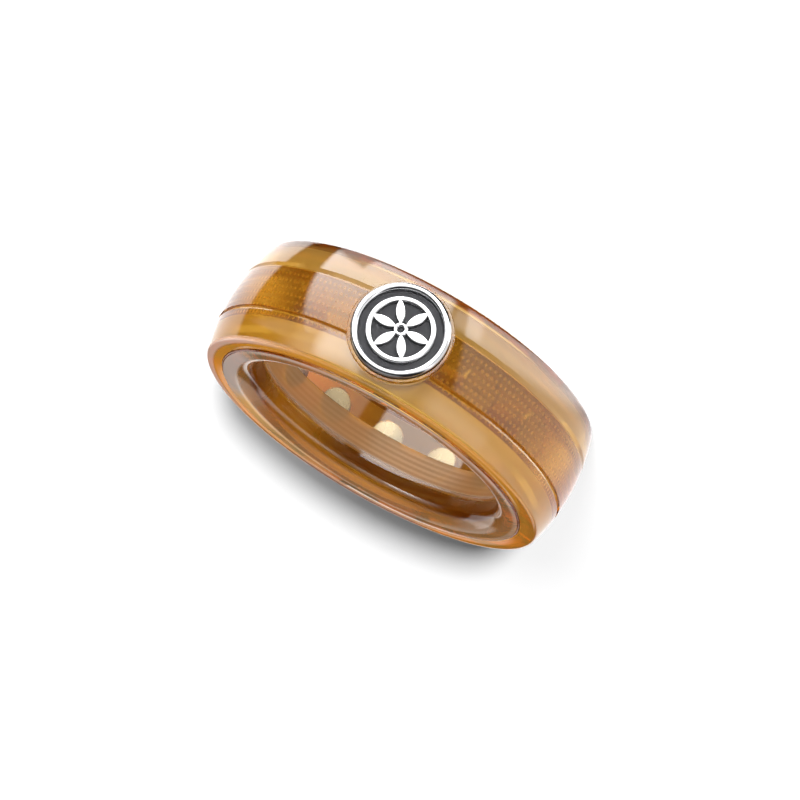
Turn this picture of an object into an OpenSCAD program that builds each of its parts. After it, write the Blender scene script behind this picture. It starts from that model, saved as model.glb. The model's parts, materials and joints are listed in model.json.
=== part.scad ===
// Fidget ring: a clear amber band with a round metal badge turns on the sleeve that is worn.
// Z is the ring's axis and the origin is the middle of the finger hole, so the ring lies on its
// side on the lower lip of the sleeve. The badge faces -Y.

/* [Finger hole] */
// Diameter of the finger hole
bore_d = 18.5; // [18:0.1:18.7]
// Radius of the comfort round at each mouth of the hole
comfort_r = 1.25; // [0.9:0.05:1.4]

/* [Sleeve] */
// Width of the sleeve from lip to lip, which is the width of the ring
sleeve_w = 8.1; // [7.8:0.1:9]
// Diameter of the two end flanges, where the joint line shows on each end face
flange_d = 22.75; // [22.5:0.05:22.9]
// Width of each end flange, which shows as a paler zone on each side of the band's middle zone
flange_w = 2.22; // [2.1:0.02:2.4]
// Diameter of the channel between the flanges, in which the band turns
channel_d = 22; // [21.9:0.05:22.1]
// Edge break on the outer corner of each lip
lip_break = 0.12; // [0.05:0.01:0.2]
// Bond line between the two halves of the sleeve
bond_gap = 0.02; // [0.01:0.01:0.05]

/* [Discs] */
// Number of metal discs set around the middle of the sleeve
disc_count = 14; // [9:1:14]
// Diameter of a disc
disc_d = 2.4; // [2:0.1:2.6]
// Thickness of a disc
disc_t = 0.5; // [0.4:0.05:0.9]
// Distance from the ring's axis to the inner face of a disc
disc_seat_r = 9.92; // [9.75:0.01:9.95]
// Angle of the first disc around the ring, from +X
disc_start = 85; // [0:1:359]
// Clearance around a disc in its pocket
disc_gap = 0.03; // [0.02:0.01:0.05]

/* [Band] */
// Diameter of the band at its crown, the largest of the ring
crown_d = 26.4; // [26:0.1:27]
// Width of the band, less than the sleeve so that it turns clear of what the ring lies on
band_w = 7.9; // [7.6:0.1:7.9]
// Radius that rounds the outer edge of each end face
edge_r = 0.2; // [0.1:0.05:0.3]
// Width of the middle zone between the two grooves
zone_w = 3.14; // [2.8:0.02:3.6]
// Depth of each groove where it meets the middle zone
groove_depth = 0.15; // [0.08:0.01:0.2]
// Width of each groove
groove_w = 0.3; // [0.2:0.05:0.4]
// Radial running clearance between the band and the sleeve
run_gap = 0.05; // [0.03:0.01:0.1]
// Clearance between the band's inner rib and each flange, along the axis
side_gap = 0.08; // [0.05:0.01:0.1]

/* [Badge] */
// Diameter of the badge
badge_d = 6.4; // [5.6:0.1:6.6]
// Distance from the ring's axis to the top of the badge's rim
badge_top = 13.5; // [13.4:0.05:13.6]
// Distance from the ring's axis to the flat floor of the badge's pocket
pocket_floor = 11.75; // [11.6:0.05:12]
// Clearance around and under the badge in its pocket
badge_gap = 0.03; // [0.02:0.01:0.05]
// Width of the collar that the band forms around the badge
collar_w = 0.2; // [0.15:0.01:0.3]
// Distance from the ring's axis to the top of the collar
collar_top = 13; // [12.9:0.05:13.1]
// Width of the badge's rounded rim
rim_w = 0.5; // [0.4:0.05:0.6]
// Depth of the badge's field below the top of its rim
field_depth = 0.38; // [0.3:0.02:0.5]
// Height of the raised rosette above the field
rosette_h = 0.32; // [0.2:0.02:0.38]
// Diameter of the rosette's outer circle
rosette_d = 4.5; // [4:0.1:4.7]
// Width of the rosette's outer circle
rosette_line = 0.38; // [0.3:0.02:0.45]
// Number of petals in the rosette
petal_count = 6; // [5:1:8]
// Width of a petal at its middle
petal_w = 0.62; // [0.4:0.02:0.7]
// Diameter of the boss at the middle of the rosette
boss_d = 0.96; // [0.8:0.02:1.1]
// Diameter of the dimple in the boss
dimple_d = 0.4; // [0.3:0.02:0.5]

/* [Hidden] */
$fn = 180;
disc_names = [for (k = [1:disc_count]) str("disc_", k < 10 ? "0" : "", k)];
amber = [0.76, 0.48, 0.13];
pale_amber = [0.82, 0.62, 0.34];
silver = [0.8, 0.81, 0.83];
nickel = [0.86, 0.84, 0.78];
bore_r = bore_d / 2;
half_w = sleeve_w / 2;
flange_r = flange_d / 2;
channel_r = channel_d / 2;
pocket_r = disc_d / 2 + disc_gap;
crown_r = crown_d / 2;
band_half = band_w / 2;
rib_half = half_w - flange_w - side_gap;
zone_half = zone_w / 2;
// the round of the band's edge touches the dome and the end face, so its centre follows from both
edge_z = band_half - edge_r;
edge_x = sqrt(pow(crown_r - edge_r, 2) - pow(edge_z, 2));
edge_slope = edge_z / edge_x;
// the groove starts this far below the dome beside the middle zone and rises to the dome again
groove_x = sqrt(pow(crown_r, 2) - pow(zone_half, 2)) - groove_depth;
groove_top_z = zone_half + groove_w;
groove_top_x = sqrt(pow(crown_r, 2) - pow(groove_top_z, 2));
groove_rise = groove_w / (groove_top_x - groove_x);
badge_r = badge_d / 2;
seat_r = badge_r + badge_gap;
collar_r = seat_r + collar_w;
field_z = badge_top - field_depth;
rim_r = rim_w / 2;
rosette_r = rosette_d / 2;
petal_len = rosette_r - rosette_line / 2;
// a petal is where two circles overlap, with its tips at the boss and in the outer circle
petal_offset = (pow(petal_len / 2, 2) - pow(petal_w / 2, 2)) / petal_w;
petal_arc_r = petal_offset + petal_w / 2;
// a cut runs this far past the face that it opens
over = 1;

// turns a shape that stands on Z so that it points along -Y, the way the badge faces
module facing_out() {
    rotate([90, 0, 0]) children();
}

// one disc's place: its axis points away from the ring's axis, at the height of the bond line
module at_disc(k) {
    rotate([0, 90, disc_start + k * 360 / disc_count]) children();
}

// section of the half sleeve that lies above the bond line, with X as the distance from the axis
module sleeve_section() {
    difference() {
        union() {
            translate([bore_r, bond_gap / 2])
                square([channel_r - bore_r, half_w - bond_gap / 2]);
            translate([bore_r, half_w - flange_w])
                square([flange_r - bore_r, flange_w]);
        }
        difference() {
            translate([bore_r - over, half_w - comfort_r])
                square([comfort_r + over, comfort_r + over]);
            translate([bore_r + comfort_r, half_w - comfort_r])
                circle(comfort_r);
        }
        polygon([
            [flange_r - lip_break, half_w],
            [flange_r + over, half_w],
            [flange_r + over, half_w - lip_break - over],
            [flange_r, half_w - lip_break]
        ]);
    }
}

// each half holds one half of every disc's pocket, which closes when the halves are joined
module sleeve_half() {
    difference() {
        rotate_extrude() sleeve_section();
        for (k = [0:disc_count - 1])
            at_disc(k)
                translate([0, 0, disc_seat_r - disc_gap])
                    cylinder(r = pocket_r, h = disc_t + 2 * disc_gap);
    }
}

module sleeve_front() {
    color(pale_amber) sleeve_half();
}

module sleeve_back() {
    color(amber) mirror([0, 0, 1]) sleeve_half();
}

module disc(k) {
    color(nickel)
        at_disc(k)
            translate([0, 0, disc_seat_r])
                cylinder(d = disc_d, h = disc_t);
}

// section of the band: a dome whose ends are rounded into two flat faces
module dome_section() {
    intersection() {
        circle(crown_r);
        polygon([[0, 0], [crown_d, crown_d * edge_slope], [crown_d, -crown_d * edge_slope]]);
    }
    for (side = [-1, 1])
        translate([edge_x, side * edge_z]) circle(edge_r);
    translate([0, -band_half]) square([edge_x, band_w]);
}

// section of one groove: a small wall beside the middle zone and a slope up to the dome
module groove_section() {
    polygon([
        [groove_x, zone_half],
        [groove_x + over, zone_half],
        [groove_x + over, zone_half + over * groove_rise]
    ]);
}

// section of the wider bore that the band has over one flange of the sleeve
module flange_bore_section() {
    translate([0, rib_half])
        square([flange_r + run_gap, band_half - rib_half + over]);
}

module band_section() {
    difference() {
        dome_section();
        groove_section();
        mirror([0, 1]) groove_section();
        translate([0, -rib_half - over])
            square([channel_r + run_gap, 2 * (rib_half + over)]);
        flange_bore_section();
        mirror([0, 1]) flange_bore_section();
    }
}

module band() {
    color(amber)
        difference() {
            union() {
                rotate_extrude() band_section();
                facing_out()
                    translate([0, 0, pocket_floor])
                        cylinder(r = collar_r, h = collar_top - pocket_floor);
            }
            facing_out()
                translate([0, 0, pocket_floor])
                    cylinder(r = seat_r, h = crown_r);
        }
}

module rosette() {
    difference() {
        circle(rosette_r);
        circle(rosette_r - rosette_line);
    }
    difference() {
        union() {
            for (k = [0:petal_count - 1])
                rotate(k * 360 / petal_count)
                    translate([petal_len / 2, 0])
                        intersection_for(side = [-1, 1])
                            translate([0, side * petal_offset]) circle(petal_arc_r);
            circle(d = boss_d);
        }
        circle(d = dimple_d);
    }
}

// section of the badge: a flat body with a rounded rim around a sunken field
module badge_section() {
    translate([0, pocket_floor + badge_gap])
        square([badge_r, field_z - pocket_floor - badge_gap]);
    translate([badge_r - rim_w, pocket_floor + badge_gap])
        square([rim_w, badge_top - rim_r - pocket_floor - badge_gap]);
    translate([badge_r - rim_r, badge_top - rim_r]) circle(rim_r);
}

module badge() {
    color(silver)
        facing_out() {
            rotate_extrude() badge_section();
            translate([0, 0, field_z - rosette_h])
                linear_extrude(height = 2 * rosette_h) rosette();
        }
}

sleeve_front();
sleeve_back();
band();
badge();
for (k = [0:disc_count - 1])
    disc(k);
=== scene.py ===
# %% [markdown]
# # A fidget ring in clear amber
# The ring lies on its side on a pale table. An amber band, with a round silver badge set in it, turns on
# the sleeve that is worn. The sleeve is two halves that hold small metal discs around their middle.
# The ring's axis is Z, and the badge faces -Y.

# %% Load the frame
import json
import math

import bmesh
import bpy
from mathutils import Matrix, Vector


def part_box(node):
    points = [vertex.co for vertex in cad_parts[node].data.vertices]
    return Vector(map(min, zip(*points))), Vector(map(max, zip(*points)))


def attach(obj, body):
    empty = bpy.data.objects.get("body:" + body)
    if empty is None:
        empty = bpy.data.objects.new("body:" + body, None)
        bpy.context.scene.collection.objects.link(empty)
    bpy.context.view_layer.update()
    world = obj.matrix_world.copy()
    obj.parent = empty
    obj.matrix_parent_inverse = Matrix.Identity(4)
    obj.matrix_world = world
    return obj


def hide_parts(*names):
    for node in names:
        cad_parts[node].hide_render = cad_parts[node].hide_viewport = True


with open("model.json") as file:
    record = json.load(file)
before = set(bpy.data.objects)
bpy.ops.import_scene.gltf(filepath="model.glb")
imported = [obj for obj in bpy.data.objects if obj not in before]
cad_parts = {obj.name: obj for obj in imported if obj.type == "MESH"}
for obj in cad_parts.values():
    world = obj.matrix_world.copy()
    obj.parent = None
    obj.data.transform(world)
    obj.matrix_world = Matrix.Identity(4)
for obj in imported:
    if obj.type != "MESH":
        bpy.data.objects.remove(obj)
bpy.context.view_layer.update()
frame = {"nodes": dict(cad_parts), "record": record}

# %% [markdown]
# ## Sizes
# The construction model already holds the sizes, so the main ones are read from it and aren't typed
# again. The small features that no box gives are named after them. Every length of the ring and its
# stage is in millimetres, and each finished mesh is brought to metres once, when it becomes an object.

# %% Sizes read from the frame
MM = 0.001


def corner(node, which, axis):
    """One coordinate of a node's box, in millimetres, at its lowest corner (0) or its highest (1)."""
    return round(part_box(node)[which][axis] / MM, 2)


X, Y, Z = 0, 1, 2
crown_r = corner("band", 1, X)
band_half = corner("band", 1, Z)
half_w = corner("sleeve_front", 1, Z)
badge_r = corner("badge", 1, X)
badge_top = -corner("badge", 0, Y)
badge_base = -corner("badge", 1, Y)
bore_r = frame["record"]["mounts"][0]["dims"]["r_mm"]
print("crown", crown_r, "band half width", band_half, "sleeve half width", half_w)
print("badge radius", badge_r, "from", badge_base, "to", badge_top, "bore radius", bore_r)

# %% Sizes of the small features
flange_r = 11.375
channel_r = 11.0
rib_half = 1.75
side_gap = 0.08
run_gap = 0.05
bond_gap = 0.02
comfort_r = 1.25
lip_break = 0.12
edge_r = 0.2
zone_half = 1.57
groove_w = 0.3
groove_depth = 0.15
print("the band runs", run_gap, "clear of the sleeve all round and", side_gap, "clear of each flange")

# %% [markdown]
# ## Turned parts
# The band, the sleeve halves and the badge are all round, as if they came off a lathe. A lathe part is
# easy to model: draw half of its section as a closed line, then spin the line around the axis. A
# cylinder with cuts would also do, but then each round and groove would need a cut of its own.

# %% Drawing a section
STEPS = 360
TINY = 1e-4


def line_to(bm, vert, r, z):
    """Draws a straight line from a vertex to the point at distance r from the axis and height z."""
    end = bm.verts.new((r, 0, z))
    bm.edges.new((vert, end))
    return end


def arc_to(bm, vert, z, steps):
    """Sweeps a vertex up around the ring's centre, until it reaches height z."""
    radius = vert.co.length
    angle = math.asin(z / radius) - math.asin(vert.co.z / radius)
    swept = bmesh.ops.spin(bm, geom=[vert], cent=(0, 0, 0), axis=(0, -1, 0), angle=angle, steps=steps)
    return swept["geom_last"][0]


def round_off(bm, vert, size, steps):
    """Rounds one corner of the section."""
    bmesh.ops.bevel(bm, geom=[vert], offset=size, offset_type="OFFSET", affect="VERTICES",
                    segments=steps, profile=0.5, material=-1)


def turn(bm, steps=STEPS):
    """Spins the section all the way around Z and closes the seam."""
    bmesh.ops.spin(bm, geom=bm.verts[:] + bm.edges[:], cent=(0, 0, 0), axis=(0, 0, 1),
                   angle=math.tau, steps=steps, use_merge=True)
    bmesh.ops.remove_doubles(bm, verts=bm.verts, dist=TINY)
    bmesh.ops.recalc_face_normals(bm, faces=bm.faces)


# %% Finishing a piece
SHARP = math.radians(28)


def shade(mesh):
    """Smooth shading, with the real edges kept crisp."""
    mesh.shade_smooth()
    mesh.set_sharp_from_angle(angle=SHARP)


def as_object(bm, name):
    """Brings a bmesh from millimetres to metres and makes it an object at the origin."""
    bmesh.ops.scale(bm, vec=(MM, MM, MM), verts=bm.verts)
    mesh = bpy.data.meshes.new(name)
    bm.to_mesh(mesh)
    bm.free()
    shade(mesh)
    piece = bpy.data.objects.new(name, mesh)
    bpy.context.scene.collection.objects.link(piece)
    return piece


def combine(piece, tool, operation):
    """Joins a tool to the piece or cuts it away, and leaves one plain mesh."""
    change = piece.modifiers.new("combine", "BOOLEAN")
    change.operation = operation
    change.solver = "EXACT"
    change.object = tool
    shaped = bpy.data.meshes.new_from_object(
        piece.evaluated_get(bpy.context.evaluated_depsgraph_get()))
    piece.modifiers.clear()
    old_mesh = piece.data
    piece.data = shaped
    shaped.name = piece.name
    bpy.data.meshes.remove(old_mesh)
    bpy.data.objects.remove(tool)
    shade(shaped)


def seat(piece, body, slot, *nodes):
    """The piece moves with a body and stands for its nodes, which are hidden. The slot is not used."""
    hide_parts(*nodes)
    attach(piece, body)
    print(piece.name, "has", len(piece.data.polygons), "faces and rides on the", body)


# %% [markdown]
# ## The sleeve
# The sleeve is the part that is worn. Its hole has a large comfort round at each mouth. The upper half
# of the hole still has the fine lines that the lathe left, and the lower half is polished, so the joint
# between the halves shows. The lines are cut as real shallow grooves, because clear plastic bends light
# at each of them, and a painted line wouldn't.

# %% Turned lines
line_count = 5
line_pitch = 0.38
line_depth = 0.01
line_start = 0.12
# the way along a groove as a share of the pitch, and how deep it is there as a share of its depth
line_profile = ((0.0, 0.0), (0.3, 1.0), (0.5, 1.0), (0.8, 0.0))


def turned_lines(bm, vert):
    """Carries the wall of the hole up over all the turned lines."""
    for k in range(line_count):
        low = bond_gap / 2 + (k + line_start) * line_pitch
        for along, deep in line_profile:
            vert = line_to(bm, vert, bore_r + deep * line_depth, low + along * line_pitch)
    return vert


# %% Sleeve section
def sleeve_half(has_lines):
    """One half of the sleeve, drawn above the joint line."""
    bm = bmesh.new()
    flange_z = rib_half + side_gap
    first = bm.verts.new((bore_r, 0, bond_gap / 2))
    vert = turned_lines(bm, first) if has_lines else first
    mouth = line_to(bm, vert, bore_r, half_w)
    lip = line_to(bm, mouth, flange_r, half_w)
    vert = line_to(bm, lip, flange_r, flange_z)
    vert = line_to(bm, vert, channel_r, flange_z)
    vert = line_to(bm, vert, channel_r, bond_gap / 2)
    bm.edges.new((vert, first))
    round_off(bm, mouth, comfort_r, steps=24)
    round_off(bm, lip, lip_break, steps=4)
    turn(bm)
    return bm


# %% [markdown]
# The discs sit in round pockets that go halfway into each half and close when the halves meet. All
# fourteen pocket cutters are made as one tool, so that a single cut makes them.

# %% Disc places
disc_nodes = sorted(name for name in frame["nodes"] if name.startswith("disc_"))
disc_centres = [sum(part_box(name), Vector()) / 2 / MM for name in disc_nodes]
disc_mid_r = disc_centres[0].length
disc_r = (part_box(disc_nodes[0])[1].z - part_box(disc_nodes[0])[0].z) / 2 / MM
disc_t = 0.5
disc_gap = 0.03
print(len(disc_nodes), "discs of radius", round(disc_r, 2), "at", round(disc_mid_r, 2), "from the axis")


def at_disc(centre):
    """The place of one disc, for a shape that stands on Z around the origin."""
    around = Matrix.Rotation(math.atan2(centre.y, centre.x), 4, "Z")
    outward = Matrix.Rotation(math.pi / 2, 4, "Y")
    return around @ outward @ Matrix.Translation((0, 0, disc_mid_r))


def disc_pockets(name):
    """Cutters for the pockets, each a little larger than its disc all round."""
    bm = bmesh.new()
    pocket_r = disc_r + disc_gap
    for centre in disc_centres:
        made = bmesh.ops.create_cone(bm, cap_ends=True, segments=48, depth=disc_t + 2 * disc_gap,
                                     radius1=pocket_r, radius2=pocket_r)
        bmesh.ops.transform(bm, matrix=at_disc(centre), verts=made["verts"])
    return as_object(bm, name)


# %% Sleeve halves
sleeve_front = as_object(sleeve_half(has_lines=True), "sleeve_front_amber")
combine(sleeve_front, disc_pockets("front_pockets"), "DIFFERENCE")
seat(sleeve_front, "sleeve", "amber_sleeve", "sleeve_front")

lower_half = sleeve_half(has_lines=False)
bmesh.ops.scale(lower_half, vec=(1, 1, -1), verts=lower_half.verts)
bmesh.ops.recalc_face_normals(lower_half, faces=lower_half.faces)
sleeve_back = as_object(lower_half, "sleeve_back_amber")
combine(sleeve_back, disc_pockets("back_pockets"), "DIFFERENCE")
seat(sleeve_back, "sleeve", "amber_sleeve", "sleeve_back")

# %% [markdown]
# ## The discs
# Fourteen satin discs shine through the amber as pale spots. Each is a short cylinder whose rims are
# broken by a small bevel, as a stamped disc's are, so that its edge catches a line of light.

# %% Discs
disc_bevel = 0.08


def disc(node, centre):
    """One disc with bevelled rims."""
    bm = bmesh.new()
    bmesh.ops.create_cone(bm, cap_ends=True, segments=64, radius1=disc_r, radius2=disc_r, depth=disc_t)
    rims = [e for e in bm.edges if abs(e.verts[0].co.z - e.verts[1].co.z) < TINY]
    bmesh.ops.bevel(bm, geom=rims, offset=disc_bevel, offset_type="OFFSET", affect="EDGES",
                    segments=3, profile=0.5, material=-1)
    bmesh.ops.transform(bm, matrix=at_disc(centre), verts=bm.verts)
    return as_object(bm, node + "_nickel")


discs = []
for node, centre in zip(disc_nodes, disc_centres):
    piece = disc(node, centre)
    seat(piece, "sleeve", "disc_nickel", node)
    discs.append(piece)

# %% [markdown]
# ## The band
# The band is a dome, part of a ball as wide as the ring, with a middle zone between two fine grooves.
# Its section is drawn from the crown upwards and mirrored, because both sides are the same. Inside, a
# rib runs in the sleeve's channel.

# %% Band section
mouth_break = 0.05
groove_top_z = zone_half + groove_w

bm = bmesh.new()
crown = bm.verts.new((crown_r, 0, 0))
vert = arc_to(bm, crown, zone_half, steps=8)
vert = line_to(bm, vert, vert.co.x - groove_depth, zone_half)
vert = line_to(bm, vert, math.sqrt(crown_r ** 2 - groove_top_z ** 2), groove_top_z)
shoulder = arc_to(bm, vert, band_half, steps=16)
mouth = line_to(bm, shoulder, flange_r + run_gap, band_half)
vert = line_to(bm, mouth, flange_r + run_gap, rib_half)
vert = line_to(bm, vert, channel_r + run_gap, rib_half)
line_to(bm, vert, channel_r + run_gap, 0)
round_off(bm, shoulder, edge_r, steps=6)
round_off(bm, mouth, mouth_break, steps=2)
bmesh.ops.mirror(bm, geom=bm.verts[:] + bm.edges[:], matrix=Matrix.Identity(4), merge_dist=TINY, axis="Z")
turn(bm)
band = as_object(bm, "band_amber")
print(band.name, "is turned, with", len(band.data.polygons), "faces")

# %% [markdown]
# The badge sits in a round pocket with a thin raised collar around it. The collar is a short cylinder
# that is joined to the dome, and then the pocket is cut through both.

# %% Collar and pocket
badge_gap = 0.03
collar_w = 0.2
collar_top = 13.0
collar_bevel = 0.07
pocket_floor = badge_base - badge_gap
past_face = 1
facing_out = Matrix.Rotation(math.pi / 2, 4, "X")


def plug(name, radius, low, high, soft=0.0):
    """A round bar along -Y, from one distance from the ring's axis to another."""
    bm = bmesh.new()
    bmesh.ops.create_cone(bm, cap_ends=True, segments=160, radius1=radius, radius2=radius,
                          depth=high - low)
    if soft:
        rim = [e for e in bm.edges if min(v.co.z for v in e.verts) > 0]
        bmesh.ops.bevel(bm, geom=rim, offset=soft, offset_type="OFFSET", affect="EDGES",
                        segments=3, profile=0.5, material=-1)
    middle = Matrix.Translation((0, 0, (low + high) / 2))
    bmesh.ops.transform(bm, matrix=facing_out @ middle, verts=bm.verts)
    return as_object(bm, name)


seat_r = badge_r + badge_gap
combine(band, plug("collar", seat_r + collar_w, pocket_floor, collar_top, collar_bevel), "UNION")
combine(band, plug("pocket", seat_r, pocket_floor, crown_r + past_face), "DIFFERENCE")
seat(band, "spinner", "amber_band", "band")

# %% [markdown]
# ## The badge
# The badge is a silver coin with a thick rounded rim. Inside the rim lies a dark sunken field with a
# raised rosette: a circle, six petals and a boss with a dimple. All but the petals is round, so one
# section gives it, and the petals are added to it.

# %% Badge section
rim_w = 0.5
field = badge_top - 0.38
relief_top = field + 0.32
circle_out = 2.25
circle_w = 0.38
boss_r = 0.48
dimple_r = 0.2
heel_r = 0.1
soft_edge = 0.12
# the two rounds of the rim leave this much flat between them
rim_flat = 0.01

bm = bmesh.new()
middle = bm.verts.new((0, 0, badge_base))
heel = line_to(bm, middle, badge_r, badge_base)
rim_out = line_to(bm, heel, badge_r, badge_top)
rim_in = line_to(bm, rim_out, badge_r - rim_w, badge_top)
vert = line_to(bm, rim_in, badge_r - rim_w, field)
vert = line_to(bm, vert, circle_out, field)
raised = [line_to(bm, vert, circle_out, relief_top)]
raised.append(line_to(bm, raised[-1], circle_out - circle_w, relief_top))
vert = line_to(bm, raised[-1], circle_out - circle_w, field)
vert = line_to(bm, vert, boss_r, field)
raised.append(line_to(bm, vert, boss_r, relief_top))
raised.append(line_to(bm, raised[-1], dimple_r, relief_top))
vert = line_to(bm, raised[-1], dimple_r, field)
line_to(bm, vert, 0, field)

# %% Badge body
for vert in raised:
    round_off(bm, vert, soft_edge, steps=4)
for vert in (rim_out, rim_in):
    round_off(bm, vert, (rim_w - rim_flat) / 2, steps=10)
round_off(bm, heel, heel_r, steps=2)
turn(bm, steps=192)
bmesh.ops.transform(bm, matrix=facing_out, verts=bm.verts)
badge = as_object(bm, "badge_silver")
print(badge.name, "is turned, with", len(badge.data.polygons), "faces")

# %% [markdown]
# A petal is where two circles overlap. Sweeping one point from tip to tip gives each side, and the
# outline is filled, raised and softened along its upper edge. The other petals are copies turned around
# the middle.

# %% One petal
petal_count = 6
petal_w = 0.62
petal_start = 0.32
petal_end = circle_out - circle_w / 2
petal_sunk = 0.05
petal_bevel = 0.07
tip_merge = 1e-3
half_len = (petal_end - petal_start) / 2
offset = (half_len ** 2 - (petal_w / 2) ** 2) / petal_w
centre_x = (petal_start + petal_end) / 2

bm = bmesh.new()
for side in (-1, 1):
    tip = bm.verts.new((centre_x + side * half_len, 0, field - petal_sunk))
    bmesh.ops.spin(bm, geom=[tip], cent=(centre_x, -side * offset, field - petal_sunk), axis=(0, 0, 1),
                   angle=2 * math.atan2(half_len, offset), steps=14)
bmesh.ops.remove_doubles(bm, verts=bm.verts, dist=tip_merge)
base = bmesh.ops.contextual_create(bm, geom=bm.edges[:])["faces"]
lifted = bmesh.ops.extrude_face_region(bm, geom=base)["geom"]
cap = [g for g in lifted if isinstance(g, bmesh.types.BMFace)][0]
bmesh.ops.translate(bm, vec=(0, 0, relief_top - field + petal_sunk), verts=cap.verts)
bmesh.ops.bevel(bm, geom=cap.edges[:], offset=petal_bevel, offset_type="OFFSET", affect="EDGES",
                segments=3, profile=0.5, material=-1)

# %% All the petals
bmesh.ops.spin(bm, geom=bm.verts[:] + bm.edges[:] + bm.faces[:], cent=(0, 0, 0), axis=(0, 0, 1),
               angle=math.tau * (petal_count - 1) / petal_count, steps=petal_count - 1,
               use_duplicate=True)
bmesh.ops.recalc_face_normals(bm, faces=bm.faces)
bmesh.ops.transform(bm, matrix=facing_out, verts=bm.verts)
combine(badge, as_object(bm, "petals"), "UNION")
seat(badge, "spinner", "badge_silver", "badge")

# %% [markdown]
# ## Node helpers
# The finishes are made with shader nodes. Small helpers keep the node trees short: some add a node and
# return its result, and the others mark a zone of the piece by its distance from the axis, its height or
# its angle around the ring.

# %% Adding nodes
def add(tree, kind, **settings):
    """A new node. Settings are node properties, and its inputs are set through wire()."""
    made = tree.nodes.new("ShaderNode" + kind)
    for name, value in settings.items():
        setattr(made, name, value)
    return made


def wire(tree, target, value):
    """Puts a number, a colour or another node's output on an input."""
    if isinstance(value, bpy.types.NodeSocket):
        tree.links.new(value, target)
    else:
        target.default_value = value


def calc(tree, operation, *values):
    """The result of a Math node."""
    made = add(tree, "Math", operation=operation)
    for socket, value in zip(made.inputs, values):
        wire(tree, socket, value)
    return made.outputs[0]


def chain(tree, operation, first, *others):
    """Joins some values by one operation, such as the product or the largest of them all."""
    result = first
    for value in others:
        result = calc(tree, operation, result, value)
    return result


def step(tree, value, low, high, out_low=0.0, out_high=1.0):
    """Rises smoothly from out_low to out_high as the value goes from low to high."""
    made = add(tree, "MapRange", interpolation_type="SMOOTHSTEP")
    for socket, setting in zip(made.inputs, (value, low, high, out_low, out_high)):
        wire(tree, socket, setting)
    return made.outputs[0]


def blend(tree, factor, first, second):
    """A colour between two colours."""
    made = add(tree, "Mix", data_type="RGBA")
    wire(tree, made.inputs["Factor"], factor)
    wire(tree, made.inputs["A"], first)
    wire(tree, made.inputs["B"], second)
    return made.outputs["Result"]


# %% Materials and places
def new_material(name):
    """A material with its shader, and the piece's own coordinates in millimetres."""
    material = bpy.data.materials.new(name)
    material.use_nodes = True
    tree = material.node_tree
    shader = tree.nodes["Principled BSDF"]
    place = add(tree, "TexCoord").outputs["Object"]
    scaled = add(tree, "VectorMath", operation="SCALE")
    wire(tree, scaled.inputs[0], place)
    wire(tree, scaled.inputs["Scale"], 1 / MM)
    return material, tree, shader, scaled.outputs[0]


def split(tree, vector):
    """The three numbers of a vector."""
    parts = add(tree, "SeparateXYZ")
    wire(tree, parts.inputs[0], vector)
    return parts.outputs


def around_axis(tree, place):
    """Distance from the ring's axis, height, and angle around the axis in radians."""
    x, y, z = split(tree, place)
    squared = calc(tree, "ADD", calc(tree, "MULTIPLY", x, x), calc(tree, "MULTIPLY", y, y))
    return calc(tree, "SQRT", squared), z, calc(tree, "ARCTAN2", y, x)


def noise(tree, place, scale, detail):
    """Fine unevenness all over the surface."""
    made = add(tree, "TexNoise")
    wire(tree, made.inputs["Vector"], place)
    wire(tree, made.inputs["Scale"], scale)
    wire(tree, made.inputs["Detail"], detail)
    return made.outputs["Fac"]


def relieve(tree, shader, height, distance, strength=1.0):
    """Relief that is too fine to model. The distance is how far a height of 1 stands out."""
    bump = add(tree, "Bump")
    wire(tree, bump.inputs["Strength"], strength)
    wire(tree, bump.inputs["Distance"], distance)
    wire(tree, bump.inputs["Height"], height)
    wire(tree, shader.inputs["Normal"], bump.outputs[0])


# %% Zones of a piece
def zone(tree, radius, height, r_low, r_high, z_low, z_high):
    """1 between two radii and two heights, and 0 outside them."""
    across = calc(tree, "MULTIPLY", calc(tree, "GREATER_THAN", radius, r_low),
                  calc(tree, "LESS_THAN", radius, r_high))
    along = calc(tree, "MULTIPLY", calc(tree, "GREATER_THAN", height, z_low),
                 calc(tree, "LESS_THAN", height, z_high))
    return calc(tree, "MULTIPLY", across, along)


def near(tree, angle, side, inside=1.0, outside=0.0):
    """Fades from inside to outside around the ring. A side is its middle angle, how far from there the
    fade starts and how far away it ends, in radians."""
    middle, fade_start, fade_end = side
    away = calc(tree, "ABSOLUTE", calc(tree, "SUBTRACT", angle, middle))
    return step(tree, away, fade_start, fade_end, inside, outside)


# %% [markdown]
# ## Amber plastic
# The plastic is clear, and its colour comes from the light that it absorbs on the way through: thin
# edges are yellow and thick walls are brown. So the colour is a volume absorption and isn't painted on
# the surface. The faces are finished one by one, with a roughness and with a little cloudiness: a cloudy
# face scatters a share of the light, and it has a tint of its own.

# %% Amber
AMBER = (0.965, 0.745, 0.07, 1.0)
DENSITY = 640.0
AMBER_IOR = 1.6
POLISH = 0.03
SMUDGE = 0.03
smudge_fade = (0.35, 0.75)
CLEAR = (1.0, 0.98, 0.95, 1.0)


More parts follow.
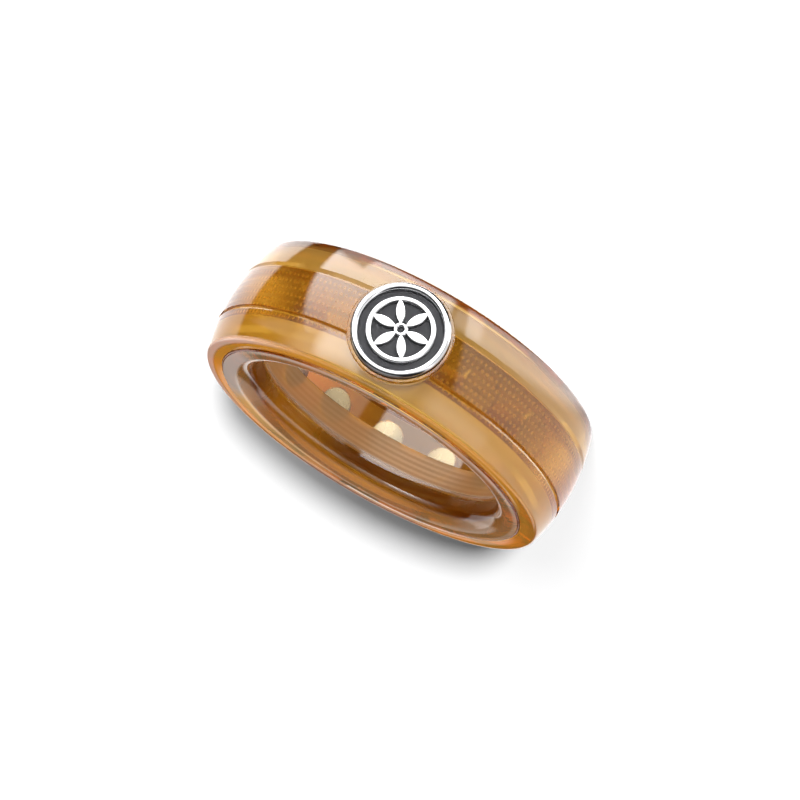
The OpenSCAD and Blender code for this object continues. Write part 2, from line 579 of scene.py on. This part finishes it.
def amber(name, finish_map):
    """Clear amber. finish_map gives the roughness, the clearness, the tint and the bump height."""
    material, tree, shader, place = new_material(name)
    roughness, clearness, tint, relief = finish_map(tree, *around_axis(tree, place))
    smudges = step(tree, noise(tree, place, scale=0.35, detail=4.0), *smudge_fade, 0.0, SMUDGE)
    wire(tree, shader.inputs["Roughness"], calc(tree, "ADD", roughness, smudges))
    wire(tree, shader.inputs["Transmission Weight"], clearness)
    wire(tree, shader.inputs["Base Color"], tint)
    wire(tree, shader.inputs["IOR"], AMBER_IOR)
    if relief is not None:
        relieve(tree, shader, relief, MM)
    absorb = add(tree, "VolumeAbsorption")
    wire(tree, absorb.inputs["Color"], AMBER)
    wire(tree, absorb.inputs["Density"], DENSITY)
    tree.links.new(absorb.outputs[0], tree.nodes["Material Output"].inputs["Volume"])
    print(name, "has", len(tree.nodes), "nodes")
    return material


def cloud(tree, clear, amount, share):
    """The clearness, with a share of it taken away where the amount is 1."""
    return calc(tree, "MULTIPLY_ADD", amount, -share, clear)


def layer(tree, clear, tint, amount, cloudiness, colour):
    """The clearness and the tint, with a cloudy finish laid over them where the amount is 1."""
    return cloud(tree, clear, amount, cloudiness), blend(tree, amount, tint, colour)


# %% [markdown]
# ## Finish of the sleeve
# The plastic around each mouth of the hole is faintly cloudy. The flat lips have a fine milky line all
# round, a pale painted sheen at one side, and are orange farther back. A painted picture could show that
# too, but zones
# worked out from the ring's own sizes stay sharp and fit any change of them. Each finish here is a pair:
# how cloudy the face is, and its tint.

# %% Mouths and lips
MOUTH = (0.16, (1.0, 0.60, 0.20, 1.0))
# the milky line is the lips' own, and the pale tint at one side is painted sheen
MILKY_LINE_AND_SHEEN = (0.26, (1.0, 0.90, 0.82, 1.0))
ORANGE_LIP = (0.20, (1.0, 0.60, 0.22, 1.0))
mouth_fade = (bore_r + 0.15, bore_r + 0.35)
lip_fade = (half_w - 0.08, half_w - 0.01)
lip_sheen_side = (math.radians(5), 0.5, 0.85)
milky_rest = 0.1
milky_line = 0.5
milky_line_fade = (10.85, 11.0)
orange_side = (math.radians(45), 0.35, 0.6)


def mouth_and_lips(tree, radius, level, angle):
    """The cloudy mouths of the hole, the milky line and the painted sheen on their flat lips, and the
    orange parts of the lips.
    """
    mouth = chain(tree, "MULTIPLY", step(tree, radius, *mouth_fade),
                  calc(tree, "LESS_THAN", radius, flange_r - lip_break),
                  calc(tree, "GREATER_THAN", level, half_w - comfort_r))
    lip = calc(tree, "MULTIPLY", mouth, step(tree, level, *lip_fade))
    line = calc(tree, "MULTIPLY", step(tree, radius, *milky_line_fade), milky_line)
    # a pale painted sheen at one side of the lips, and the milky line all round
    milky_and_sheen = calc(tree, "MAXIMUM", line, near(tree, angle, lip_sheen_side, 1.0, milky_rest))
    milky_and_sheen = calc(tree, "MULTIPLY", lip, milky_and_sheen)
    orange = calc(tree, "MULTIPLY", lip, near(tree, angle, orange_side))
    return mouth, milky_and_sheen, orange


print("the lips are flat from", round(bore_r + comfort_r, 3), "to", round(flange_r - lip_break, 3))

# %% [markdown]
# Part of the outer face of each flange is frosted and tinted dark, and less so at one side: the dark tint
# is painted shade. The band covers it, and it shows as a shade through the band.

# %% Frosted flanges with painted shade
# frosted plastic, with a dark tint that is painted shade
FROST_WITH_PAINTED_SHADE = (0.82, (0.30, 0.16, 0.06, 1.0))
on_flange = 0.05
painted_shade_fade = (2.4, 2.8)
light_shade_side = (math.radians(45), 0.1, 0.6)
thin_share = 0.2


def shaded_flange_face(tree, radius, level, angle):
    """The part of each flange's outer face that is nearer to the middle of the ring, where the shade is
    painted.
    """
    face = zone(tree, radius, level, flange_r - on_flange, flange_r + on_flange, rib_half, half_w)
    return chain(tree, "MULTIPLY", face, step(tree, level, *painted_shade_fade, 1.0, 0.0),
                 near(tree, angle, light_shade_side, thin_share, 1.0))


# the frost that carries the painted shade scatters most of the light
print("the stain lets", round(1 - FROST_WITH_PAINTED_SHADE[0], 2), "of the light through and scatters the rest")

# %% [markdown]
# The channel that the band runs in is satin. The half with the turned lines is also cloudy in the hole,
# where the tool tore the plastic a little. One function makes the finish map of either half, so what
# they share is written once.

# %% Sleeve finish
TORN = (0.60, (0.72, 0.40, 0.15, 1.0))
near_face = 0.1
channel_rough = 0.4
shaded_flange_rough = 0.5
torn_rough = 0.35
turned_top = bond_gap / 2 + line_count * line_pitch
torn_fade = (turned_top - 0.3, turned_top + 0.2)


def sleeve_finish(is_turned):
    """The finish map of a half of the sleeve. The turned half is torn in the hole."""
    def finish_map(tree, radius, height, angle):
        level = calc(tree, "ABSOLUTE", height)
        channel = zone(tree, radius, level, channel_r - near_face, channel_r + near_face, -1,
                       rib_half + side_gap)
        shaded_flange = shaded_flange_face(tree, radius, level, angle)
        mouth, milky_and_sheen, orange = mouth_and_lips(tree, radius, level, angle)
        rough = calc(tree, "MULTIPLY_ADD", channel, channel_rough, POLISH)
        rough = calc(tree, "MULTIPLY_ADD", shaded_flange, shaded_flange_rough, rough)
        finish = layer(tree, 1.0, CLEAR, mouth, *MOUTH)
        # the milky line and the painted sheen of the lips
        finish = layer(tree, *finish, milky_and_sheen, *MILKY_LINE_AND_SHEEN)
        finish = layer(tree, *finish, orange, *ORANGE_LIP)
        # the dark tint laid on here is painted shade
        finish = layer(tree, *finish, shaded_flange, *FROST_WITH_PAINTED_SHADE)
        if is_turned:
            torn = calc(tree, "MULTIPLY", calc(tree, "LESS_THAN", radius, bore_r + near_face),
                        step(tree, height, *torn_fade, 1.0, 0.0))
            rough = calc(tree, "MULTIPLY_ADD", torn, torn_rough, rough)
            finish = layer(tree, *finish, torn, *TORN)
        return rough, *finish, None
    return finish_map


sleeve_front.data.materials.append(amber("amber_turned", sleeve_finish(is_turned=True)))
sleeve_back.data.materials.append(amber("amber_polished", sleeve_finish(is_turned=False)))
print("the torn part of the hole ends at a height of", round(turned_top, 2))

# %% [markdown]
# ## Finish of the band
# The outside of the band is polished. Inside, the rib is satin, with rows of small round dimples that
# show through the plastic as dots. They are far too many and too shallow to model, so they are a bump in
# the material, made by two waves that cross.

# %% Dimples
dimples_around = 188
dimple_start = math.radians(-111.6)
dimple_row = 0.463
dimple_edge = (0.4, 1.6)


def dimples(tree, height, angle):
    """Round spots in rows, where a wave around the ring and a wave along its axis are both high."""
    turned_angle = calc(tree, "MULTIPLY", calc(tree, "SUBTRACT", angle, dimple_start), dimples_around)
    around = calc(tree, "COSINE", turned_angle)
    along = calc(tree, "COSINE", calc(tree, "MULTIPLY", height, math.tau / dimple_row))
    return step(tree, calc(tree, "ADD", around, along), *dimple_edge)


print(dimples_around, "dimples around, in rows", dimple_row, "apart")

# %% [markdown]
# The rims are orange, with a gold inner ring and a paler outer edge at one side: the paler edge is painted
# sheen. The lower rim, and a stretch of the upper one behind, are in shade: that finish only has a darker
# tint.

# %% Rims
END_FACE = (0.28, (1.0, 0.54, 0.08, 1.0))
GOLD_RING = (0.22, (1.0, 0.48, 0.06, 1.0))
# a pale painted sheen on the outer edge, at one side
PAINTED_SHEEN_EDGE = (0.27, (1.0, 0.68, 0.52, 1.0))
RIM_SHADE = (0.0, (0.42, 0.33, 0.28, 1.0))
end_fade = (band_half - 0.08, band_half - 0.02)
gold_ring_fade = (11.9, 12.1)
gold_side = (math.radians(-10), 0.8, 1.5)
gold_rest = 0.3
edge_fade = (band_half - 0.25, band_half - 0.1)
edge_sheen_fade = (11.95, 12.2)
edge_sheen_side = (math.radians(-10), 0.5, 1.1)


def rim_tints(tree, radius, level, height, angle):
    """The end faces, their gold inner ring, and the painted sheen on the outer edge of the upper one."""
    ends = step(tree, level, *end_fade)
    ring = chain(tree, "MULTIPLY", ends, step(tree, radius, *gold_ring_fade, 1.0, 0.0),
                 near(tree, angle, gold_side, 1.0, gold_rest))
    edge = chain(tree, "MULTIPLY", step(tree, level, *edge_fade), step(tree, radius, *edge_sheen_fade),
                 calc(tree, "GREATER_THAN", height, 0.0), near(tree, angle, edge_sheen_side))
    return ends, ring, edge


# %% Shaded rims
low_shade_fade = (-3.7, -3.3)
low_shade_start = 12.0
far_shade_fade = (band_half - 0.5, band_half - 0.2)
far_shade_start = 11.9
far_side = (math.radians(86), 0.3, 0.55)
far_shade = 0.8


def rim_shade(tree, radius, height, angle):
    """The lower rim all the way round, and the upper rim behind."""
    lower = calc(tree, "MULTIPLY", step(tree, height, *low_shade_fade, 1.0, 0.0),
                 calc(tree, "GREATER_THAN", radius, low_shade_start))
    far = chain(tree, "MULTIPLY", step(tree, height, *far_shade_fade),
                near(tree, angle, far_side, far_shade, 0.0),
                calc(tree, "GREATER_THAN", radius, far_shade_start))
    return calc(tree, "MAXIMUM", lower, far)


print("the end faces of the band are at a height of", band_half)

# %% [markdown]
# The two wide bores over the flanges are frosted, the lower one less than the upper one, and they show
# as the pale side zones of the band. The frost and the rib are golden, and paler on the lower bore: that
# paler tint is painted sheen.

# %% Band finish
GOLD = (1.0, 0.90, 0.42, 1.0)
# paler gold on the lower bore, a painted sheen
PALE_GOLD_SHEEN = (1.0, 0.98, 0.85, 1.0)
gold_sheen_fade = (-rib_half - 0.1, -rib_half)
wide_bore_cloud = 0.30
frost_cloud = 0.55
frost_end = 3.35
frost_fade = (-0.5, 0.5)
lower_frost = 0.7
rib_cloud = 0.07
rib_rough = 0.2
dimple_cloud = 0.45
dimple_depth = 0.0005
step_face = 0.01


def band_finish(tree, radius, height, angle):
    """The finish map of the band."""
    level = calc(tree, "ABSOLUTE", height)
    rib = zone(tree, radius, level, channel_r, channel_r + near_face, -1, rib_half)
    wide_bore = zone(tree, radius, level, channel_r, flange_r + near_face, rib_half - step_face, half_w)
    frosted = chain(tree, "MULTIPLY", wide_bore, calc(tree, "LESS_THAN", level, frost_end),
                    step(tree, height, *frost_fade, lower_frost, 1.0))
    dots = calc(tree, "MULTIPLY", dimples(tree, height, angle), rib)
    ends, ring, edge = rim_tints(tree, radius, level, height, angle)
    clear = cloud(tree, 1.0, dots, dimple_cloud)
    clear = cloud(tree, clear, rib, rib_cloud)
    clear = cloud(tree, clear, wide_bore, wide_bore_cloud)
    clear = cloud(tree, clear, frosted, frost_cloud)
    # the paler gold below is painted sheen
    golden = blend(tree, step(tree, height, *gold_sheen_fade, 1.0, 0.0), GOLD, PALE_GOLD_SHEEN)
    tint = blend(tree, calc(tree, "MAXIMUM", frosted, rib), CLEAR, golden)
    finish = layer(tree, clear, tint, ends, *END_FACE)
    finish = layer(tree, *finish, ring, *GOLD_RING)
    # the paler outer edge is painted sheen
    finish = layer(tree, *finish, edge, *PAINTED_SHEEN_EDGE)
    finish = layer(tree, *finish, rim_shade(tree, radius, height, angle), *RIM_SHADE)
    rough = calc(tree, "MULTIPLY_ADD", rib, rib_rough, POLISH)
    return rough, *finish, calc(tree, "MULTIPLY", dots, -dimple_depth)


band.data.materials.append(amber("amber_band", band_finish))

# %% [markdown]
# ## Metals
# The badge is polished silver that has been blackened and wiped: the black stays in the sunken field and
# in the gap around the badge. Its height above the field decides how much is left.

# %% Silver
BLACKENED = (0.016, 0.016, 0.018, 1.0)
SILVER = (0.54, 0.54, 0.55, 1.0)
wiped_fade = (field + 0.08, field + 0.2)
black_rough = 0.5
silver_rough = 0.12
grain_rough = 0.08
grain_height = 0.06
grain_depth = 0.02
grain_strength = 0.15
black_shine = 0.12


def silver():
    """Polished silver with black left in the low places."""
    material, tree, shader, place = new_material("silver_oxidised")
    out = calc(tree, "MULTIPLY", split(tree, place)["Y"], -1.0)
    grain = noise(tree, place, scale=9.0, detail=5.0)
    uneven = calc(tree, "MULTIPLY_ADD", grain, grain_height, out)
    bright = step(tree, uneven, *wiped_fade)
    wire(tree, shader.inputs["Base Color"], blend(tree, bright, BLACKENED, SILVER))
    wire(tree, shader.inputs["Specular IOR Level"], black_shine)
    wire(tree, shader.inputs["Metallic"], bright)
    fine = calc(tree, "MULTIPLY", grain, grain_rough)
    worn = step(tree, uneven, *wiped_fade, black_rough, silver_rough)
    wire(tree, shader.inputs["Roughness"], calc(tree, "ADD", fine, worn))
    relieve(tree, shader, grain, grain_depth * MM, strength=grain_strength)
    print(material.name, "is bright from", round(wiped_fade[1], 2), "from the ring's axis")
    return material


badge.data.materials.append(silver())

# %% [markdown]
# The discs are satin nickel, as parts are that come out of a tumbler. A noise that changes the roughness
# a little keeps their faces from looking too even.

# %% Nickel
NICKEL = (0.45, 0.42, 0.39, 1.0)
satin = (0.26, 0.30)
satin_fade = (0.3, 0.7)


def nickel():
    """Satin nickel with the fine grain of a tumbled part."""
    material, tree, shader, place = new_material("nickel_satin")
    grain = noise(tree, place, scale=1.5, detail=4.0)
    wire(tree, shader.inputs["Base Color"], NICKEL)
    wire(tree, shader.inputs["Metallic"], 1.0)
    wire(tree, shader.inputs["Roughness"], step(tree, grain, *satin_fade, *satin))
    return material


nickel_satin = nickel()
for piece in discs:
    piece.data.materials.append(nickel_satin)
print(nickel_satin.name, "is on", len(discs), "discs")

# %% [markdown]
# ## Table
# The table is a large plain sheet under the ring. Its own colour is dark, because strong lamps light it
# up to white. Mirror rays and rays through the plastic don't see it, so the surround below the horizon
# shows in the ring instead.

# %% Table
table_size = 3000
TABLE = (0.08, 0.08, 0.08, 1.0)
table_rough = 0.6

bm = bmesh.new()
bmesh.ops.create_grid(bm, x_segments=1, y_segments=1, size=table_size)
bmesh.ops.translate(bm, vec=(0, 0, -half_w), verts=bm.verts)
table = as_object(bm, "table")
table.visible_glossy = False
table.visible_transmission = False

material, tree, shader, place = new_material("table_white")
wire(tree, shader.inputs["Base Color"], TABLE)
wire(tree, shader.inputs["Roughness"], table_rough)
table.data.materials.append(material)
print("the table lies at a height of", -half_w)

# %% [markdown]
# ## Light
# Clear plastic shows little of its own: it shows what it bends and what it mirrors. So the studio has
# two parts. A plain white surround shines through the ring, and large soft panels are mirrored in it.
# Real panels would stand in the camera's view or throw their own light on the table, so they are drawn
# on the world by direction, with an azimuth from the camera's side and an elevation.

# %% Directions of the surround
camera_azimuth = -98.96


def turned_by(tree, vector, degrees):
    """A direction or a place, turned around Z."""
    made = add(tree, "VectorRotate", rotation_type="Z_AXIS")
    wire(tree, made.inputs["Vector"], vector)
    wire(tree, made.inputs["Angle"], math.radians(degrees))
    return made.outputs[0]


def surround(tree, direction):
    """Azimuth from the camera's side and elevation of a direction, in degrees."""
    x, y, z = split(tree, turned_by(tree, direction, -camera_azimuth))
    azimuth = calc(tree, "DEGREES", calc(tree, "ARCTAN2", y, x))
    elevation = calc(tree, "DEGREES", calc(tree, "ARCSINE", z))
    return azimuth, elevation


world = bpy.data.worlds.new("studio")
world.use_nodes = True
bpy.context.scene.world = world
sky = world.node_tree
azimuth, elevation = surround(sky, add(sky, "TexCoord").outputs["Generated"])
aside = calc(sky, "ABSOLUTE", azimuth)


# %% Soft panels
def panel(sides, heights, gain, leans=(0.0, 0.0), soft=2.5):
    """A soft-edged panel. Its sides are azimuths and its heights are elevations, in degrees from low to
    high. A lean moves a side by that many degrees for each degree of elevation."""
    low_side = calc(sky, "MULTIPLY_ADD", elevation, leans[0], azimuth)
    high_side = calc(sky, "MULTIPLY_ADD", elevation, leans[1], azimuth)
    across = calc(sky, "MULTIPLY", step(sky, low_side, sides[0] - soft, sides[0] + soft),
                  step(sky, high_side, sides[1] - soft, sides[1] + soft, 1.0, 0.0))
    upward = calc(sky, "MULTIPLY", step(sky, elevation, heights[0] - soft, heights[0] + soft),
                  step(sky, elevation, heights[1] - soft, heights[1] + soft, 1.0, 0.0))
    return chain(sky, "MULTIPLY", across, upward, gain)


# the large panel in front, the deep part of it, faint ones beside, below and above it, and two bright
# ones at the height of the ring
front = chain(sky, "MAXIMUM",
              panel((-5, 70.8), (-40, 3), 1.0, leans=(0.1, 0.64)),
              panel((-5, 68), (-52, -30), 1.0, leans=(0.1, 0.0), soft=4),
              panel((-26, -4), (-48, -36), 0.35, soft=3),
              panel((-5, 70.8), (-56, 3), 0.3, leans=(0.1, 0.64)),
              panel((-8, 99), (-3, 17), 0.3, leans=(0.0, 3.5), soft=3),
              panel((-8, 76), (-3, 17), 0.9, soft=14),
              panel((26, 60), (-4, 14), 2.9, soft=8))
# the panel at the left end of the ring, and its lower part that goes on behind
left = chain(sky, "MAXIMUM",
             panel((121, 162), (-62, 30), 0.38),
             panel((140, 210), (-62, 4), 0.38))
# the long panel at the right, and two bright ones above it
right = panel((-210, -25.3), (-52, 8), 1.0, leans=(0.0, 0.27))
upper_right = chain(sky, "MAXIMUM",
                    panel((-125, -30), (2, 19), 1.9, leans=(0.0, 0.27), soft=7),
                    panel((-62, -14), (1, 17), 2.6, soft=8))
print("the surround with its panels has", len(sky.nodes), "nodes")

# %% [markdown]
# The panels are brighter at their foot than at their top, as a lit wall is near a bright floor. A faint
# light from above and a soft wall behind the ring are added to them.

# %% Glow of the panels
front_foot = 7.4
front_top = 2.6
right_foot = 4.1
right_top = 1.3
above_gain = 0.3
behind_gain = 0.7

front_fall = step(sky, elevation, low=-42, high=8, out_low=front_foot, out_high=front_top)
right_fall = step(sky, elevation, low=-37, high=-29, out_low=right_foot, out_high=right_top)
above = step(sky, elevation, low=55, high=65)
behind = chain(sky, "MULTIPLY", step(sky, aside, low=110, high=125),
               step(sky, elevation, low=17, high=22),
               step(sky, elevation, low=34, high=46, out_low=1.0, out_high=0.15))
on_left = calc(sky, "MULTIPLY", calc(sky, "ADD", front, left), front_fall)
on_right = calc(sky, "MAXIMUM", calc(sky, "MULTIPLY", right, right_fall), upper_right)
glow = calc(sky, "ADD", on_left, on_right)
glow = calc(sky, "MULTIPLY_ADD", above, above_gain, glow)
glow = calc(sky, "MULTIPLY_ADD", behind, behind_gain, glow)
print("the front panels fall from", front_foot, "to", front_top, "and those at the right from", right_foot,
      "to", right_top)

# %% [markdown]
# A Light Path node tells which kind of ray asks. Rays that a surface mirrors see the panels in full. Rays
# that come through the plastic and go on to the camera's side see a quarter of them. All other rays see
# the plain white, apart from the rays through the plastic that leave it low behind the ring: there the
# white is shaded, as it is where the real ring stands in its own shadow.

# %% Which rays see the panels
WHITE = (1.1, 1.1, 1.1, 1.0)
SHADE = (0.15, 0.09, 0.04, 1.0)
path = add(sky, "LightPath")
through = path.outputs["Is Transmission Ray"]
low_sky = calc(sky, "MULTIPLY", step(sky, elevation, low=-46, high=-28),
               step(sky, elevation, low=2, high=12, out_low=1.0, out_high=0.0))
back_sky = calc(sky, "MAXIMUM", step(sky, azimuth, low=134, high=164),
                step(sky, azimuth, low=-150, high=-138, out_low=1.0, out_high=0.0))
shaded = chain(sky, "MULTIPLY", low_sky, back_sky, through)
plain = blend(sky, shaded, WHITE, SHADE)
ahead = calc(sky, "MULTIPLY", step(sky, aside, low=104, high=114, out_low=0.25, out_high=0.0), through)
mirror = calc(sky, "SUBTRACT", path.outputs["Is Reflection Ray"], path.outputs["Is Diffuse Ray"])
mirrored = calc(sky, "MAXIMUM", ahead, mirror)

panels = add(sky, "CombineXYZ")
for socket in panels.inputs:
    wire(sky, socket, glow)
background = sky.nodes["Background"]
wire(sky, background.inputs["Color"], blend(sky, mirrored, plain, panels.outputs[0]))
wire(sky, background.inputs["Strength"], 1.0)

# %% [markdown]
# The table gets its own light from two low sun-like lamps on the camera's side, so the ring's shadow
# falls behind it. The small lamp gives the shadow its dark core and the wide one its soft edge. They
# light only the table, and the ring keeps the even light of the surround.

# %% Low lamps
lamp_distance = 400
lit = bpy.data.collections.new("lit_by_low_lamps")
lit.objects.link(table)


def low_lamp(name, energy, spread, lamp_azimuth, lamp_elevation):
    """A sun-like lamp that lights only the table. Its angles are in degrees."""
    light = bpy.data.lights.new(name, "SUN")
    light.energy = energy
    light.angle = math.radians(spread)
    lamp = bpy.data.objects.new(name, light)
    bpy.context.scene.collection.objects.link(lamp)
    around = math.radians(lamp_azimuth)
    up = math.radians(lamp_elevation)
    from_lamp = Vector((math.cos(around) * math.cos(up), math.sin(around) * math.cos(up), math.sin(up)))
    lamp.location = lamp_distance * MM * from_lamp
    lamp.rotation_euler = (-from_lamp).to_track_quat("-Z", "Y").to_euler()
    lamp.light_linking.receiver_collection = lit
    print(name, "stands at", [round(v, 3) for v in lamp.location])


low_lamp("low_lamp", energy=140, spread=4.4, lamp_azimuth=-98.4, lamp_elevation=11.8)
low_lamp("soft_lamp", energy=42, spread=14, lamp_azimuth=-86, lamp_elevation=11)

# %% [markdown]
# The wall of the hole that faces the camera has the ring's own shade behind it, so it looks darker than
# the rest. A low curved card stands behind the ring for that. It is nearly black in its middle and turns
# to a warm light toward its ends. Only the rays that come through the amber see it.

# %% Card
card_r = 15.0
card_top = 0.0
card_middle = 195
card_core = 5
card_reach = 60

bm = bmesh.new()
foot = bm.verts.new((card_r, 0, -half_w))
line_to(bm, foot, card_r, card_top)
first_side = math.radians(camera_azimuth + card_middle - card_reach)
bmesh.ops.rotate(bm, cent=(0, 0, 0), matrix=Matrix.Rotation(first_side, 3, "Z"), verts=bm.verts)
bmesh.ops.spin(bm, geom=bm.verts[:] + bm.edges[:], cent=(0, 0, 0), axis=(0, 0, 1),
               angle=math.radians(2 * card_reach), steps=60)
card = as_object(bm, "card")
card.visible_camera = False
card.visible_diffuse = False
card.visible_glossy = False
card.visible_shadow = False

# %% Light of the card
CARD_SHADE = (0.05, 0.02, 0.005, 1.0)
CARD_LIGHT = (0.95, 0.45, 0.15, 1.0)
BLACK = (0.0, 0.0, 0.0, 1.0)

material, tree, shader, place = new_material("card_warm")
from_middle = turned_by(tree, place, -camera_azimuth - card_middle)
angle = around_axis(tree, from_middle)[2]
away = calc(tree, "DEGREES", calc(tree, "ABSOLUTE", angle))
card_light = blend(tree, step(tree, away, card_core, card_reach), CARD_SHADE, CARD_LIGHT)
wire(tree, shader.inputs["Base Color"], BLACK)
wire(tree, shader.inputs["Specular IOR Level"], 0.0)
wire(tree, shader.inputs["Emission Color"], card_light)
wire(tree, shader.inputs["Emission Strength"], 1.0)
card.data.materials.append(material)
print("the card is", card_top + half_w, "high and reaches", card_reach, "degrees to each side")

# %% [markdown]
# ## Camera
# The photo looks down on the ring a little and is tilted far to one side. The camera's direction, tilt
# and distance come from a fit of the ring's ellipses in the photo.

# %% Camera
camera_elevation = 16.8
camera_tilt = 149.33
camera_distance = 201.5
along = math.radians(camera_azimuth)
up = math.radians(camera_elevation)
tilt = math.radians(camera_tilt)
back = Vector((math.cos(along) * math.cos(up), math.sin(along) * math.cos(up), math.sin(up)))
level_right = Vector((0, 0, 1)).cross(back).normalized()
level_up = back.cross(level_right)
camera_right = math.cos(tilt) * level_right - math.sin(tilt) * level_up
camera_up = math.sin(tilt) * level_right + math.cos(tilt) * level_up

lens = bpy.data.cameras.new("camera")
lens.lens = 135
lens.sensor_width = 36
lens.shift_x = 0.002
lens.shift_y = -0.0021
lens.clip_start = 0.01
lens.clip_end = 100
camera = bpy.data.objects.new("camera", lens)
bpy.context.scene.collection.objects.link(camera)
facing = Matrix((camera_right, camera_up, back)).transposed().to_4x4()
camera.matrix_world = Matrix.Translation(back * camera_distance * MM) @ facing
bpy.context.scene.camera = camera
bpy.context.scene.view_settings.view_transform = "Standard"
print("the camera looks along", [round(-v, 3) for v in back])
